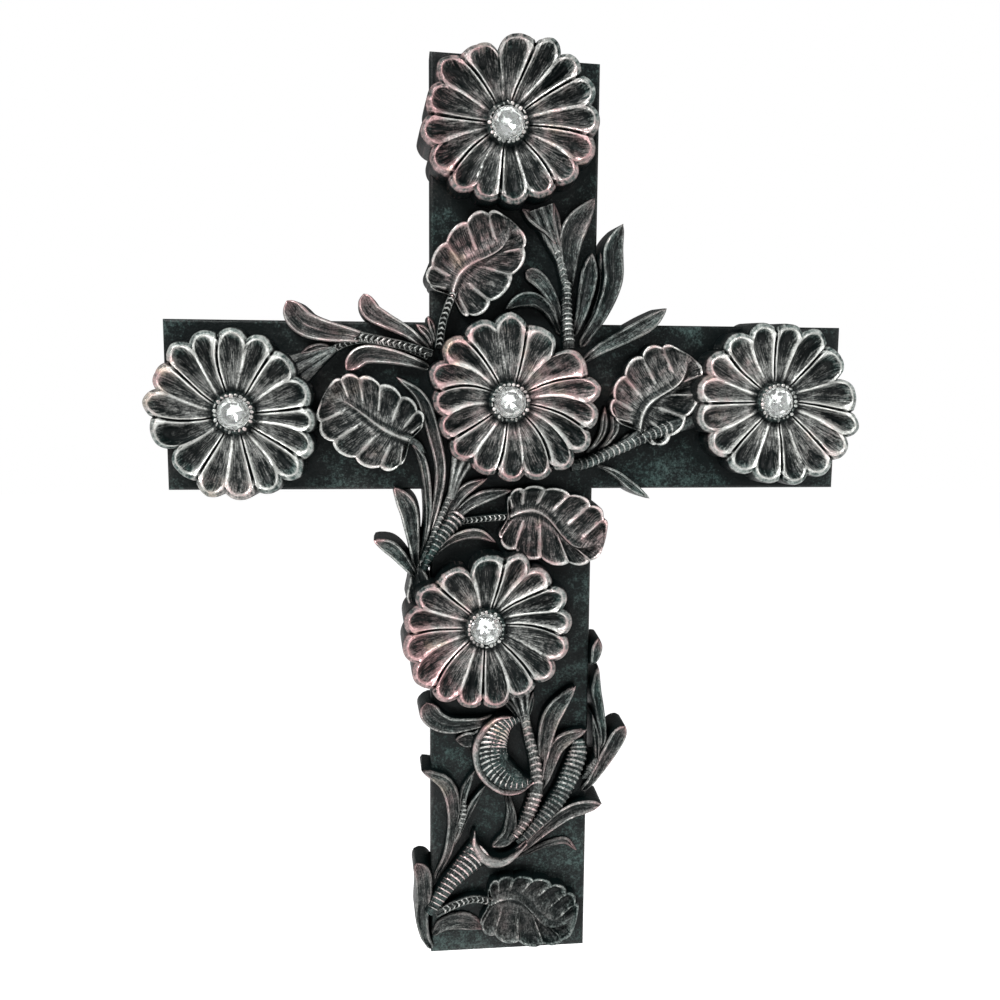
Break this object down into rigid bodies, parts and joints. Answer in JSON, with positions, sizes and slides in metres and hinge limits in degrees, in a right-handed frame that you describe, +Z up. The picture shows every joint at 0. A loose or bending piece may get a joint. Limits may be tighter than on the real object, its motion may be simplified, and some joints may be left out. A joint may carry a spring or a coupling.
{
  "type": "wall cross",
  "caption": "Latin wall cross cast with flowers, scalloped leaves and acanthus sprays in high relief, a faceted clear stone in each flower.",
  "frame": {"origin": "middle of the crossing of the two bars, on the flat back that lies against the wall", "axes": "+X to the right arm as seen from the front, +Y out of the back towards the wall, +Z up the shaft; the front faces -Y"},
  "size_m": [0.2713, 0.0245, 0.357],
  "materials": {
    "antiqued_resin": "near-black antique over metallic paint, rubbed to silver and rose on the high edges",
    "clear_crystal": "clear, faceted and polished"
  },
  "bodies": {
    "root": {"cross_casting": "antiqued_resin", "crystal_top": "clear_crystal", "crystal_left": "clear_crystal", "crystal_centre": "clear_crystal", "crystal_right": "clear_crystal", "crystal_lower": "clear_crystal"}
  },
  "joints": []
}
